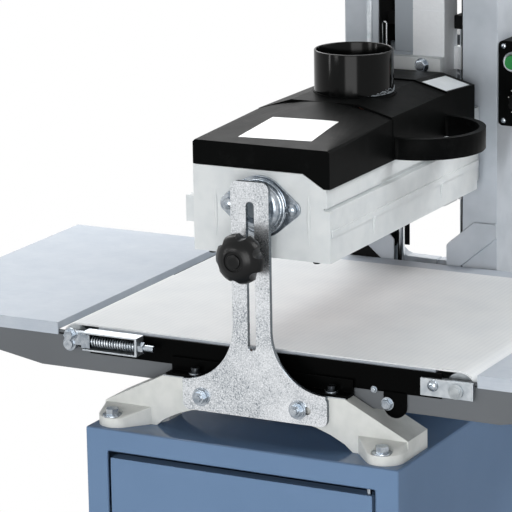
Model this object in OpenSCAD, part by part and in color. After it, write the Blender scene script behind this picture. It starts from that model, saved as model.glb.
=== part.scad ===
// Open-ended drum sander on a cabinet stand, in millimetres.
// The shapes are drawn with X along the feed, Y along the drum from the cabinet's front
// face, and Z from the cabinet's top. place() moves them to the floor frame.

/* [Stand] */
// cabinet width along the feed
cab_w = 421; // [390:1:460]
// cabinet depth along the drum
cab_d = 610; // [608:1:640]
// height of the cabinet's top above the floor
cab_h = 740; // [700:5:800]
// cabinet sheet thickness
sheet = 3; // [2:0.5:4]
// height of the levelling feet
foot_h = 25; // [20:1:35]
// door width
door_w = 353; // [340:1:356]
// door pull reach in front of the door
pull_reach = 28; // [24:1:40]

/* [Conveyor] */
// half distance between the two belt rollers
roller_x = 259; // [255:1:262]
// height of the belt's carrying face above the cabinet
belt_z = 107.8; // [107:0.1:109]
// belt thickness
belt_t = 1.95; // [1.5:0.05:2.5]
// belt roller radius
roller_r = 19; // [18:0.5:19]
// length of each extension table along the feed
table_l = 243.6; // [200:0.2:300]
// take-up travel
takeup = 8; // [4:1:9]

/* [Head] */
// height of the drum axis above the cabinet
drum_z = 281; // [281:0.5:290]
// outside radius of the drum tube
drum_r = 62.5; // [60:0.5:63]
// thickness of the abrasive wrap
wrap_t = 1; // [0.6:0.1:1.2]
// half width of the head casting
head_hw = 91.3; // [91.3:0.1:95]
// outside radius of the dust port
port_r = 50; // [48:0.5:52]
// top of the dust port above the cabinet
port_top = 429.3; // [420:0.1:440]
// clamp knob radius
knob_r = 30.5; // [26:0.5:34]
// motor body length
motor_l = 186; // [160:1:200]

/* [Column] */
// top of the posts above the cabinet
post_top = 492; // [490:1:510]
// guide rod radius
rod_r = 7; // [6:0.5:7]
// height screw radius
screw_r = 8; // [7:0.5:8]

/* [Springs] */
// curls of each take-up spring
curls = 17; // [10:1:20]
// wire radius of the spring
wire_r = 0.85; // [0.6:0.05:1]
// middle radius of the curls
curl_r = 6.1; // [5.6:0.1:6.6]

/* [Hidden] */
$fn = 48;

hw = cab_w / 2;
cab_low = foot_h - cab_h;
door_hw = door_w / 2;
open_hw = door_hw + 4;
open_top = -28;
open_low = cab_low + 21;
door_top = open_top - 8;
door_low = open_low + 8;
pin_x = door_hw - 6;
pin_y = 6.3;
seam = 0.1;
belt_out = roller_r + 0.35 + belt_t;
axis_z = belt_z - belt_out;
mirror_y = 560.5;
table_x = roller_x + 24.4;
fan_y = 614 + motor_l;
motor_end = fan_y + 48;
y_mid = (motor_end - pull_reach) / 2;
slot_x = 3.4;
knob_z = 231;
crown_top = 375.5;
crown_y = 243;
crown_r = (head_hw * head_hw + 225) / 30;
crown_z = crown_top - 0.1 - crown_r;
hood_hinge_x = -98;
hood_hinge_z = 328;
press_x = 66;
press_z = 225.7;
tk_y = 51;
tk_z = 92.3;
col_y = 545;
post_in = 60;
post_out = 109.5;
rod_x = 48;
car_hw = 36;
rod_y = 565;
spring_x0 = -227.6;
spring_l = 63;

module place() translate([0, -y_mid, cab_h]) children();

module bx(x0, x1, y0, y1, z0, z1) translate([x0, y0, z0]) cube([x1 - x0, y1 - y0, z1 - z0]);

module cyl_x(y, z, x0, x1, r) translate([x0, y, z]) rotate([0, 90, 0]) cylinder(h = x1 - x0, r = r);

module cyl_y(x, z, y0, y1, r) translate([x, y0, z]) rotate([-90, 0, 0]) cylinder(h = y1 - y0, r = r);

module cyl_z(x, y, z0, z1, r) translate([x, y, z0]) cylinder(h = z1 - z0, r = r);

module hex_y(x, z, y0, y1, r) translate([x, y0, z]) rotate([-90, 0, 0]) cylinder(h = y1 - y0, r = r, $fn = 6);

module hex_x(y, z, x0, x1, r) translate([x0, y, z]) rotate([0, 90, 0]) cylinder(h = x1 - x0, r = r, $fn = 6);

module hex_z(x, y, z0, z1, r) translate([x, y, z0]) cylinder(h = z1 - z0, r = r, $fn = 6);

// a flat shape drawn in X and Z, given a thickness along Y
module along_y(y0, y1) translate([0, y1, 0]) rotate([90, 0, 0]) linear_extrude(y1 - y0) children();

// a flat rectangle with round corners
module round_rect(x0, x1, y0, y1, r) {
    translate([x0 + r, y0]) square([x1 - x0 - 2 * r, y1 - y0]);
    translate([x0, y0 + r]) square([x1 - x0, y1 - y0 - 2 * r]);
    for (x = [x0 + r, x1 - r], y = [y0 + r, y1 - r]) translate([x, y]) circle(r);
}

// the same piece on the near and the far side of the conveyor
module both_sides() {
    children();
    translate([0, mirror_y, 0]) mirror([0, 1, 0]) children();
}

// the sheets of the cabinet, each set a seam apart from its neighbours
module cabinet() color("#5F7BA3") place() {
    bx(-hw, hw, 0, sheet, open_top, 0);
    bx(-hw, hw, 0, sheet, cab_low, open_low);
    for (s = [-1, 1]) {
        bx(s > 0 ? open_hw : -hw, s > 0 ? hw : -open_hw, 0, sheet, open_low + seam, open_top - seam);
        bx(s > 0 ? hw - sheet : -hw, s > 0 ? hw : sheet - hw, sheet + seam, cab_d, cab_low, 0);
    }
    bx(seam + sheet - hw, hw - sheet - seam, cab_d - sheet, cab_d, cab_low, -sheet - seam);
    bx(seam + sheet - hw, hw - sheet - seam, sheet + seam, cab_d - sheet - seam, cab_low, cab_low + sheet);
    difference() {
        bx(seam + sheet - hw, hw - sheet - seam, sheet + seam, cab_d, -sheet, 0);
        for (x = [-182, 182], y = [17.4, mirror_y - 17.4]) cyl_z(x, y, -5, 1, 5.5);
        for (x = [-40, 40], y = [533, 597]) cyl_z(x, y, -5, 1, 5.5);
    }
    difference() {
        union() {
            bx(pin_x - 13, pin_x + 16, sheet + seam, 20, open_top, open_top + 8);
            bx(pin_x - 13, pin_x + 16, sheet + seam, 20, open_low - 8, open_low);
        }
        cyl_z(pin_x, pin_y, open_top - 1, open_top + 9, 3);
        cyl_z(pin_x, pin_y, open_low - 9, open_low + 1, 3);
    }
    bx(-195, -open_hw, sheet + seam, 30, -400, -340);
    bx(-open_hw - 1, -166, 18.5, 30, -400, -340);
}

module levelling_feet() color("#2A2B2D") place() {
    for (x = [-180, 180], y = [35, cab_d - 35]) {
        translate([x, y, -cab_h]) rotate_extrude()
            polygon([[0, 0], [22, 0], [22, 5], [19, 9], [9, 12], [0, 12]]);
        hex_z(x, y, 12 - cab_h, cab_low, 10);
    }
}

module hinge_pins() color("#B9BDC0") place() {
    cyl_z(pin_x, pin_y, door_top - 10, open_top + 8, 3);
    cyl_z(pin_x, pin_y, open_low - 8, door_low + 10, 3);
}

module cabinet_door() color("#5F7BA3") place() {
    difference() {
        bx(-door_hw, door_hw, 0, 18, door_low, door_top);
        bx(-door_hw + 2, door_hw - 2, 2, 19, door_low + 2.5, door_top - 2.5);
        cyl_z(pin_x, pin_y, door_top - 4, door_top + 1, 3.05);
        cyl_z(pin_x, pin_y, door_low - 1, door_low + 4, 3.05);
    }
}

module door_pull() color("#1D1E20") place() {
    cyl_z(-138, 6 - pull_reach, -420, -300, 6);
    for (z = [-405, -315]) cyl_y(-138, z, 6 - pull_reach, 0, 4.5);
}

// outline of a leg casting seen from the front
module leg_shape() {
    difference() {
        polygon([[-205, 0], [-205, 23], [-123.5, 64], [123.5, 64], [205, 23], [205, 0]]);
        polygon([[-134, -1], [-122, 9], [-104, 18], [-84, 25], [-60, 29], [60, 29], [84, 25], [104, 18],
            [122, 9], [134, -1]]);
    }
}

// the foot plate of a leg, whose top falls from the web to the front
module leg_pad() hull() {
    linear_extrude(12) polygon([[128, 95], [128, 62], [137, 44], [205, 44], [205, 95]]);
    cyl_z(180.5, 31, 0, 12, 24.5);
    bx(140, 203, 40.3, 41, 0, 22);
}

module leg_body() {
    difference() {
        union() {
            along_y(40.3, 61.5) leg_shape();
            along_y(61.5, 95) intersection() {
                leg_shape();
                translate([-220, -1]) square([440, 51]);
            }
            leg_pad();
            mirror([1, 0, 0]) leg_pad();
        }
        for (x = [-182, 182]) {
            cyl_z(x, 17.4, -1, 16, 5.5);
            cyl_z(x, 17.4, 12, 40, 13);
        }
        for (x = [-67, 63.6]) cyl_y(x, 45.7, 39, 72, 4.5);
        for (x = [-84, 100]) cyl_z(x, 52, 46, 65, 3.3);
    }
}

module front_leg() color("#DADBD6") place() leg_body();

module rear_leg() color("#DADBD6") place() translate([0, mirror_y, 0]) mirror([0, 1, 0]) leg_body();

module leg_bolts() color("#C3C6C8") place() {
    for (x = [-182, 182], y = [17.4, mirror_y - 17.4]) {
        cyl_z(x, y, 12, 14, 12);
        hex_z(x, y, 14, 21.5, 8.5);
        cyl_z(x, y, -14, 12, 5);
        hex_z(x, y, -sheet - 8, -sheet, 9);
    }
    for (x = [-40, 40], y = [533, 597]) {
        hex_z(x, y, 14, 21, 8.5);
        cyl_z(x, y, -14, 14, 5);
        hex_z(x, y, -sheet - 8, -sheet, 9);
    }
}

// outline of the outboard support plate with its slot and two bolt holes
module bracket_shape() {
    difference() {
        union() {
            round_rect(-22.4, 28.3, 60, 318, 9);
            round_rect(-92.5, 102.2, 28, 66, 9);
            translate([-92.5, 60]) square([192.8, 78]);
        }
        translate([-94.4, 138]) circle(72);
        translate([100.3, 138]) circle(72);
        translate([-110, 66]) square([15.6, 80]);
        translate([100.3, 66]) square([10, 80]);
        translate([slot_x - 5.5, 116.5]) square([11, 172]);
        translate([slot_x, 116.5]) circle(5.5);
        translate([slot_x, 288.5]) circle(5.5);
        translate([-67, 45.7]) circle(5);
        translate([63.6, 45.7]) circle(5);
        translate([63.6, 40.7]) square([12, 10]);
        translate([75.6, 45.7]) circle(5);
    }
}

module support_bracket() color("#A9AEB1") place() along_y(34.3, 40.3) bracket_shape();

module bracket_bolts() color("#C3C6C8") place() {
    for (x = [-67, 63.6]) {
        cyl_y(x, 45.7, 32.3, 34.3, 11.5);
        cyl_y(x, 45.7, 30.5, 32.3, 9.6);
        hex_y(x, 45.7, 25, 30.5, 8);
        cyl_y(x, 45.7, 21.4, 25, 4.4);
        cyl_y(x, 45.7, 34.3, 64.5, 4.4);
    }
}

module side_rails() color("#161719") place() {
    bx(-238, 238, 62, 65, 73, 104);
    bx(-238, 238, mirror_y - 65, mirror_y - 62, 73, 104);
}

module frame_plates() color("#5B5F63") place() both_sides() along_y(65, 67.5) difference() {
    polygon([[-505, 84], [-505, 98], [505, 98], [505, 84], [310, 50], [-310, 50]]);
    translate([roller_x, axis_z]) circle(7.5);
    translate([-roller_x, axis_z]) circle(7.5);
    translate([-roller_x, axis_z - 7.5]) square([takeup + 1, 15]);
    translate([takeup + 1 - roller_x, axis_z]) circle(7.5);
}

module bed_plate() color("#9EA4A8") place() {
    bx(-228, 228, 67.5, 495, 102.7, belt_z - belt_t - 0.15);
    bx(-228, 221, 492.4, 521, 105.2, belt_z - 0.4);
}

module bed_beams() color("#3A3D40") place() for (x = [-135, 0, 135]) difference() {
    bx(x - 17, x + 17, 67.5, 493, 70, 102.7);
    bx(x - 14, x + 14, 60, 500, 73, 99.7);
}

module bed_mounts() color("#1B1C1E") place() both_sides() difference() {
    union() {
        bx(-120, 125, 42, 62, 64, 68);
        bx(-120, 125, 58, 62, 68, 84);
    }
    for (x = [-84, 100]) cyl_z(x, 52, 60, 70, 3.3);
}

module mount_bolts() color("#242526") place() both_sides() for (x = [-84, 100]) {
    difference() {
        cyl_z(x, 52, 68, 76, 5.6);
        hex_z(x, 52, 72, 77, 3.2);
    }
    cyl_z(x, 52, 48, 68, 3.2);
}

// a flat loop around both belt rollers
module loop_shape(r) {
    translate([-roller_x, axis_z - r]) square([2 * roller_x, 2 * r]);
    for (x = [-roller_x, roller_x]) translate([x, axis_z]) circle(r, $fn = 96);
}

module conveyor_belt() color("#DDE1E3") place() along_y(68.5, 492) difference() {
    loop_shape(belt_out);
    loop_shape(belt_out - belt_t);
}

module drive_plates() color("#B4B8BA") place() both_sides() difference() {
    bx(213, 280, 57, 62, 76.6, 98);
    cyl_y(roller_x, axis_z, 56, 63, 6.05);
}

module drive_roller() color("#8B9094") place() {
    cyl_y(roller_x, axis_z, 70, 490.5, roller_r);
    cyl_y(roller_x, axis_z, 52, 70, 6);
    cyl_y(roller_x, axis_z, 490.5, 524, 6);
    cyl_y(roller_x, axis_z, 53.4, 56.4, 9);
}

module gearmotor() color("#3A3D40") place() difference() {
    union() {
        along_y(503.5, 560) round_rect(222, 279.5, 48, 122, 8);
        cyl_y(250, axis_z, 560, 640, 32);
        cyl_y(250, axis_z, 640, 656, 27);
    }
    cyl_y(roller_x, axis_z, 502, 526, 6.05);
}

module takeup_brackets() color("#B4B8BA") place() both_sides() difference() {
    bx(-238, -161, 43, 62, 81.5, 105);
    bx(-239, -164, 42, 63, 83.5, 103);
    cyl_x(tk_y, tk_z, -170, -160, 4.4);
}

// one turn of the spring has eight rings of six sides
rings = curls * 8 + 1;
function spring_at(i) = let (t = i / (rings - 1), a = 360 * curls * t)
    [spring_x0 + wire_r + (spring_l - 2 * wire_r) * t, tk_y + curl_r * cos(a), tk_z + curl_r * sin(a)];
function spring_way(i) = let (d = spring_at(i + 0.05) - spring_at(i - 0.05)) d / norm(d);
path = concat(
    [spring_at(0) - 2 * wire_r * spring_way(0)],
    [for (i = [0:rings - 1]) spring_at(i)],
    [spring_at(rings - 1) + 2 * wire_r * spring_way(rings - 1)]);
last = len(path) - 1;
function path_way(k) = spring_way(min(max(k - 1, 0), rings - 1));
function ring_of(k) = let (w = path_way(k), out = [0, path[k][1] - tk_y, path[k][2] - tk_z],
    u0 = out - (out * w) * w, u = u0 / norm(u0), v = cross(w, u))
    [for (s = [0:5]) path[k] + wire_r * (u * cos(60 * s) + v * sin(60 * s))];
skin = [for (k = [0:last]) each ring_of(k)];
faces = concat(
    [for (k = [0:last - 1], s = [0:5]) let (a = 6 * k + s, b = 6 * k + (s + 1) % 6) each
        [[a, b, b + 6], [a, b + 6, a + 6]]],
    [for (s = [1:4]) [0, s + 1, s]],
    [for (s = [1:4]) [6 * last, 6 * last + s, 6 * last + s + 1]]);
self_gap = min([for (k = [0:last], m = [k + 5:1:last]) norm(path[k] - path[m])]) - 2 * wire_r;
echo(takeup_spring_self_gap_mm = self_gap);

module spring_form() polyhedron(points = skin, faces = [for (f = faces) [f[2], f[1], f[0]]], convexity = 10);

module takeup_springs() color("#C9CCCE") place() {
    spring_form();
    translate([0, mirror_y - 2 * tk_y, 0]) spring_form();
}

module takeup_half() {
    cyl_y(-roller_x, axis_z, 48, 57, 9);
    bx(-264, -240, 48, 57, 86.5, 102.6);
    bx(-240, -227.9, 44.5, 57.5, 84.5, 101.5);
    cyl_x(tk_y, tk_z, -228, -140.5, 4);
    hex_x(tk_y, tk_z, -160.4, -153.4, 7);
    cyl_y(-256.5, 99, 46, 48, 8.4);
    hex_y(-256.5, 99, 40, 46, 6.4);
}

module idler_takeup() color("#AEB2B5") place() {
    both_sides() takeup_half();
    cyl_y(-roller_x, axis_z, 44, mirror_y - 44, 6);
}

module idler_roller() color("#8B9094") place() difference() {
    cyl_y(-roller_x, axis_z, 70, 490.5, roller_r);
    cyl_y(-roller_x, axis_z, 69, 492, 6.05);
}

module table_body() {
    bx(table_x, table_x + table_l, 62, 521.6, belt_z - 2.5, belt_z);
    bx(table_x, table_x + 2.5, 62, 521.6, 98.2, belt_z - 2.5);
    bx(table_x + table_l - 2.5, table_x + table_l, 62, 521.6, 86, belt_z - 2.5);
    bx(table_x, table_x + table_l, 62, 64.5, 92, belt_z - 2.5);
    bx(table_x, table_x + table_l, 519.1, 521.6, 92, belt_z - 2.5);
    for (y = [65, 493]) bx(table_x + 15, 500, y, y + 2.5, 98, belt_z - 2.5);
}

module infeed_table() color("#C4CBD1") place() mirror([1, 0, 0]) table_body();

module outfeed_table() color("#C4CBD1") place() table_body();

module column_base() color("#D2D6D6") place() difference() {
    linear_extrude(14) round_rect(-118, 118, 525, 606, 12);
    for (x = [-40, 40], y = [533, 597]) cyl_z(x, y, -1, 15, 5.5);
}

module post_body() {
    difference() {
        bx(post_in, post_out, 528, 600, 14, post_top);
        bx(post_in + 5, post_out - 5, 533, 595, 13, post_top + 1);
    }
    difference() {
        bx(car_hw + 1.5, post_in, 553, 577, 420, 436);
        cyl_z(rod_x, rod_y, 419, 437, rod_r);
    }
    along_y(582, 600) polygon([[post_in, 80], [post_in, 114], [56.5, 106], [51, 100.5], [44, 97.8], [0.3, 97],
        [0.3, 80]]);
    along_y(525, 528) polygon([[58, 106], [77, 122], [post_out, 149], [post_out, 168], [78, 168], [42, 138],
        [38.5, 134], [38.5, 106]]);
}

module left_post() color("#AEB3B6") place() mirror([1, 0, 0]) post_body();

module right_post() color("#AEB3B6") place() post_body();

module column_cap() color("#D2D6D6") place() difference() {
    translate([0, 0, post_top]) linear_extrude(18) round_rect(-post_out, post_out, 528, 600, 8);
    cyl_z(0, col_y, post_top - 1, post_top + 19, screw_r + 0.05);
}

module guide_rods() color("#D9DCDE") place() for (x = [-rod_x, rod_x]) cyl_z(x, rod_y, 14, 436, rod_r);

module height_screw() color("#B9BDC0") place() {
    cyl_z(0, col_y, 330, post_top + 56, screw_r);
    cyl_z(0, col_y, post_top - 7, post_top - 0.4, 14);
    cyl_z(0, col_y, post_top + 18.4, post_top + 24, 14);
}

module crank_arm() color("#2A2C2E") place() difference() {
    union() {
        cyl_z(0, col_y, post_top + 24, post_top + 56, 17);
        bx(-9, 9, 448, col_y - 10, post_top + 46, post_top + 56);
        cyl_z(0, 448, post_top + 46, post_top + 56, 9);
        cyl_z(0, 448, post_top + 56, post_top + 112, 5);
        cyl_z(0, 448, post_top + 112, post_top + 116, 8);
    }
    cyl_z(0, col_y, post_top + 20, post_top + 60, screw_r);
}

module crank_grip() color("#141516") place() translate([0, 448, post_top]) rotate_extrude()
    polygon([[5.05, 56.5], [11, 56.5], [13, 62], [14, 78], [13, 100], [10, 111.5], [5.05, 111.5]]);

// outside outline of the head casting, seen from the front
module head_shape() {
    polygon([[-head_hw, 219], [head_hw, 219], [head_hw, 282], [head_hw - 4.3, 285], [head_hw - 4.3, 308.2],
        [83, 308.2], [55.7, 324.7], [-head_hw, 324.7]]);
}

module hood_knuckle(y0, y1) difference() {
    union() {
        cyl_y(hood_hinge_x, hood_hinge_z, y0, y1, 5);
        bx(hood_hinge_x - 5, hood_hinge_x + 1.5, y0, y1, 303, hood_hinge_z);
        bx(hood_hinge_x - 5, 1 - head_hw, y0, y1, 303, 318);
    }
    cyl_y(hood_hinge_x, hood_hinge_z, y0 - 1, y1 + 1, 2.5);
}

// a rib under the bead of the head, fading out downwards
module side_rib(y) hull() {
    bx(head_hw - 1, head_hw + 3, y - 3, y + 3, 249, 251);
    bx(head_hw - 1, head_hw + 0.2, y - 0.6, y + 0.6, 229, 231);
}

module head_casting() color("#D8DDDF") place() difference() {
    union() {
        along_y(70, 505) head_shape();
        bx(-85, 85, 505, 524.5, 226, 324);
        bx(-car_hw, car_hw, 510, 524.5, 324, 386);
        for (y = [190, 390]) side_rib(y);
        bx(head_hw, head_hw + 2, 74, 505, 250, 258);
        bx(-head_hw - 2, -head_hw, 74, 505, 250, 258);
        bx(-113, -head_hw, 90, 122, 248, 280);
        cyl_y(slot_x, knob_z, 41, 70, 9);
        hood_knuckle(150.5, 180);
        hood_knuckle(390, 419.5);
    }
    cyl_y(0, drum_z, 82, 497, drum_r + 5.5);
    bx(-70, 70, 82, 497, drum_z, 330);
    bx(-80, 80, 82, 497, 210, 247);
    cyl_y(0, drum_z, 60, 530, 14);
    bx(head_hw - 8, head_hw + 1, 69, 506, 282.5, 285.5);
    bx(head_hw - 8, head_hw + 1, 222, 365, 285, 288.5);
    for (x = [-42.3, 42.3]) cyl_y(x, drum_z, 60, 83, 4.2);
    cyl_y(slot_x, knob_z, 40, 66, 5);
}

module carriage() color("#C9CED0") place() difference() {
    union() {
        bx(-car_hw, car_hw, 524.5, 566, 186, 464);
        for (s = [-1, 1], z = [190, 365]) {
            bx(s > 0 ? car_hw - 1 : -rod_x, s > 0 ? rod_x : 1 - car_hw, 556, 566, z, z + 30);
            cyl_z(s * rod_x, rod_y, z, z + 30, 11);
        }
    }
    for (x = [-rod_x, rod_x]) cyl_z(x, rod_y, 130, 445, rod_r + 0.05);
    cyl_z(0, col_y, 300, 465, 12);
    cyl_z(0, col_y, 442, 465, 15);
    cyl_y(0, drum_z, 524, 542, 26);
    cyl_y(0, drum_z, 540, 570, 14);
    bx(-26, 26, 523, 534, 192, 246);
    bx(-car_hw - 1, -9, 523, 527.5, 390, 465);
    bx(-car_hw - 1, car_hw + 1, 523, 525.3, 446, 448);
}

module lift_nut() color("#B08D4A") place() difference() {
    cyl_z(0, col_y, 442, 464, 15);
    cyl_z(0, col_y, 441, 465, screw_r + 0.06);
}

module outboard_bearing() color("#A7B2BB") place() difference() {
    union() {
        along_y(66.5, 70) hull() {
            translate([0, drum_z]) circle(38, $fn = 96);
            for (x = [-42.3, 42.3]) translate([x, drum_z]) circle(11, $fn = 48);
        }
        translate([0, 66.5, drum_z]) rotate([90, 0, 0]) rotate_extrude($fn = 96)
            polygon([[0, -2], [34.4, -2], [34.4, 2.5], [32.5, 3], [31, 2], [29, 2.5], [27.5, 6], [24, 8.5], [19, 10],
                [19, 12], [0, 12]]);
    }
    cyl_y(0, drum_z, 50, 80, 10.05);
    for (x = [-42.3, 42.3]) cyl_y(x, drum_z, 60, 80, 4.2);
}

module bearing_bolts() color("#C3C6C8") place() for (x = [-42.3, 42.3]) {
    translate([x, 66.5, drum_z]) rotate([90, 0, 0]) rotate_extrude()
        polygon([[0, 0], [7.6, 0], [7.2, 2.5], [5.6, 4.8], [3, 6.1], [0, 6.5]]);
    cyl_y(x, drum_z, 66.5, 81.5, 4.1);
}

module inboard_bearing() color("#B9BDC0") place() difference() {
    cyl_y(0, drum_z, 524.6, 540, 26);
    cyl_y(0, drum_z, 523, 541, 10.05);
}

module drum_shaft() color("#9BA0A3") place() cyl_y(0, drum_z, 50, 588, 10);

module drum() color("#B4B9BC") place() difference() {
    cyl_y(0, drum_z, 87, 493, drum_r);
    cyl_y(0, drum_z, 86, 494, 10);
}

module abrasive_wrap() color("#8A4B32") place() difference() {
    cyl_y(0, drum_z, 88, 492, drum_r + wrap_t);
    cyl_y(0, drum_z, 87, 493, drum_r);
}

module coupling() color("#7E8488") place() difference() {
    union() {
        cyl_y(0, drum_z, 572, 600, 27);
        cyl_y(0, drum_z, 600, 640, 9);
    }
    cyl_y(0, drum_z, 560, 588, 10);
}

module motor() color("#3F4347") place() difference() {
    union() {
        cyl_y(0, drum_z, 566, 614, 38);
        cyl_y(0, drum_z, 606, 614, 70);
        cyl_y(0, drum_z, 614, fan_y, 66);
        translate([0, 0, drum_z]) for (a = [0:15:345]) rotate([0, a, 0]) bx(-1.75, 1.75, 622, fan_y, 60, 74);
        bx(-32, 32, 660, 730, drum_z + 60, drum_z + 77);
    }
    cyl_y(0, drum_z, 560, 606, 32);
    cyl_y(0, drum_z, 600, 645, 9.06);
}

module fan_cover() color("#26282A") place() difference() {
    cyl_y(0, drum_z, fan_y, motor_end, 75);
    cyl_y(0, drum_z, fan_y - 1, motor_end - 3, 72);
    for (a = [0:30:330], r = [30, 48]) cyl_y(r * cos(a), drum_z + r * sin(a), motor_end - 6, motor_end + 1, 5.5);
}

module terminal_box() color("#3F4347") place() {
    bx(-45, 45, 650, 740, drum_z + 77, drum_z + 112);
    cyl_x(695, drum_z + 94, 45, 62, 10);
}

module clamp_stud() color("#B9BDC0") place() cyl_y(slot_x, knob_z, 2, 66, 5);

module clamp_knob() color("#1A1B1C") place() difference() {
    translate([slot_x, 33.9, knob_z]) rotate([90, 0, 0]) rotate_extrude($fn = 96)
        polygon([[0, 0], [13, 0], [14.5, 8], [19, 15], [27, 18], [knob_r, 22], [knob_r, 28], [28, 34], [22, 40],
            [17, 42.8], [12.2, 44.2], [11.6, 42.8], [9, 42.8], [8.4, 44.4], [5, 45], [0, 45]]);
    for (a = [9:60:309]) cyl_y(slot_x + (knob_r + 1.5) * sin(a), knob_z + (knob_r + 1.5) * cos(a), -20, 30, 7.5);
    cyl_y(slot_x, knob_z, 1.5, 40, 5.05);
}

// the arched edge where the hood's front slope meets its crown, seen from the front
module arch_shape(drop) intersection() {
    translate([0, crown_z]) circle(crown_r - drop, $fn = 120);
    translate([drop - head_hw, 345]) square([2 * (head_hw - drop), 40]);
}

// the crown around the port, seen from the front
module crown_shape(drop) polygon([[drop - head_hw, 345], [drop - head_hw, 361 - drop], [-46, crown_top - drop],
    [46, crown_top - drop], [head_hw - drop, 363 - drop], [head_hw - drop, 345]]);

// the slope from the straight front edge of the hood to the arch
module hood_front(drop) hull() {
    along_y(70 + drop, 70.2 + drop) polygon([[drop - head_hw, 345], [drop - head_hw, 352 - drop],
        [drop - head_hw + 3, 355 - drop], [head_hw - 3 - drop, 355 - drop], [head_hw - drop, 352 - drop],
        [head_hw - drop, 345]]);
    along_y(crown_y - 0.2, crown_y) arch_shape(drop);
}

// a slice of the deck behind the crown
module deck_shape(drop, middle, side) polygon([[drop - head_hw, 345], [drop - head_hw, side - 2 - drop],
    [-46, middle - drop], [46, middle - drop], [head_hw - drop, side - drop], [head_hw - drop, 345]]);

// the deck that falls from the crown to the rear edge
module hood_deck(drop) hull() {
    along_y(408, 408.2) deck_shape(drop, 377.5, 365);
    along_y(495.8 - drop, 496 - drop) deck_shape(drop, 371.5, 359);
}

module hood_skirt() polygon([[-head_hw, 325.3], [-head_hw, 352], [-head_hw + 3, 355], [head_hw - 3, 355],
    [head_hw, 352], [head_hw, 308.6], [83.2, 308.6], [55.9, 325.3]]);

module hood_leaf(y0, y1) difference() {
    union() {
        cyl_y(hood_hinge_x, hood_hinge_z, y0, y1, 5);
        bx(hood_hinge_x, 1 - head_hw, y0, y1, hood_hinge_z - 2, hood_hinge_z + 5);
    }
    cyl_y(hood_hinge_x, hood_hinge_z, y0 - 1, y1 + 1, 2.55);
}

module dust_hood() color("#141516") place() {
    difference() {
        union() {
            along_y(70, 496) hood_skirt();
            hood_front(0);
            along_y(crown_y, 408) crown_shape(0);
            hood_deck(0);
            cyl_z(2.6, 322, 350, crown_top, port_r + 4);
        }
        bx(3 - head_hw, head_hw - 3, 73, 493, 300, 351.5);
        hood_front(3);
        along_y(crown_y - 1, 405) crown_shape(3);
        hood_deck(3);
        cyl_z(2.6, 322, 340, 380, port_r - 3);
    }
    hood_leaf(120, 150);
    hood_leaf(420, 449.5);
    difference() {
        cyl_z(head_hw, 331, 309, 335.6, 80);
        cyl_z(head_hw, 331, 300, 340, 71.7);
        bx(-100, head_hw - 1, 200, 500, 300, 340);
    }
}

module dust_port() color("#0E0F10") place() difference() {
    cyl_z(2.6, 322, crown_top, port_top, port_r);
    cyl_z(2.6, 322, 350, port_top + 1, port_r - 3);
}

module hood_hinge_pins() color("#B9BDC0") place() {
    cyl_y(hood_hinge_x, hood_hinge_z, 119, 181, 2.5);
    cyl_y(hood_hinge_x, hood_hinge_z, 389, 451, 2.5);
}

// sprung holder of a pressure roller, drawn on the outfeed side
module carrier_body() difference() {
    union() {
        bx(press_x - 9, press_x + 9, 83, 496, press_z + 11.3, press_z + 14.3);
        bx(press_x - 9, press_x + 9, 83, 90, press_z - 6, press_z + 12);
        bx(press_x - 9, press_x + 9, 489, 496, press_z - 6, press_z + 12);
    }
    cyl_y(press_x, press_z, 80, 500, 4.05);
}

module press_body() {
    cyl_y(press_x, press_z, 92, 487, 9);
    cyl_y(press_x, press_z, 83.5, 495.5, 4);
}

module outfeed_carrier() color("#A9AEB1") place() carrier_body();

module infeed_carrier() color("#A9AEB1") place() mirror([1, 0, 0]) carrier_body();

module outfeed_roller() color("#8B9094") place() press_body();

module infeed_roller() color("#8B9094") place() mirror([1, 0, 0]) press_body();

module switch_box() color("#2B2D2F") place() difference() {
    along_y(532, 592) round_rect(post_out, post_out + 70, 300, 412, 6);
    for (x = [post_out + 20, post_out + 50]) cyl_y(x, 385, 531, 547, 9.06);
    cyl_y(post_out + 35, 335, 531, 546, 4.06);
}

module start_button() color("#2E8B4A") place() cyl_y(post_out + 20, 385, 525, 541, 9);

module stop_button() color("#B0272B") place() {
    cyl_y(post_out + 50, 385, 525, 541, 9);
    cyl_y(post_out + 50, 385, 521, 525.5, 12.5);
}

module speed_knob() color("#141516") place() {
    cyl_y(post_out + 35, 335, 530, 545, 4);
    difference() {
        cyl_y(post_out + 35, 335, 516, 531.6, 15);
        for (a = [0:45:315]) cyl_y(post_out + 35 + 16 * cos(a), 335 + 16 * sin(a), 515, 526, 3);
    }
}

cabinet();
levelling_feet();
hinge_pins();
cabinet_door();
door_pull();
front_leg();
rear_leg();
leg_bolts();
support_bracket();
bracket_bolts();
side_rails();
frame_plates();
bed_plate();
bed_beams();
bed_mounts();
mount_bolts();
conveyor_belt();
drive_plates();
drive_roller();
gearmotor();
takeup_brackets();
takeup_springs();
idler_takeup();
idler_roller();
infeed_table();
outfeed_table();
column_base();
left_post();
right_post();
column_cap();
guide_rods();
height_screw();
crank_arm();
crank_grip();
head_casting();
carriage();
lift_nut();
outboard_bearing();
bearing_bolts();
inboard_bearing();
drum_shaft();
drum();
abrasive_wrap();
coupling();
motor();
fan_cover();
terminal_box();
clamp_stud();
clamp_knob();
dust_hood();
dust_port();
hood_hinge_pins();
infeed_carrier();
infeed_roller();
outfeed_carrier();
outfeed_roller();
switch_box();
start_button();
stop_button();
speed_knob();
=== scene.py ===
"""Looks of an open-ended drum sander on a cabinet stand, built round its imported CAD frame."""
import logging
import math
from dataclasses import dataclass
from enum import Enum
from typing import Any, Self, Sequence, Union

import bmesh
import bpy
from mathutils import Matrix, Vector
from mathutils.bvhtree import BVHTree


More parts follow.
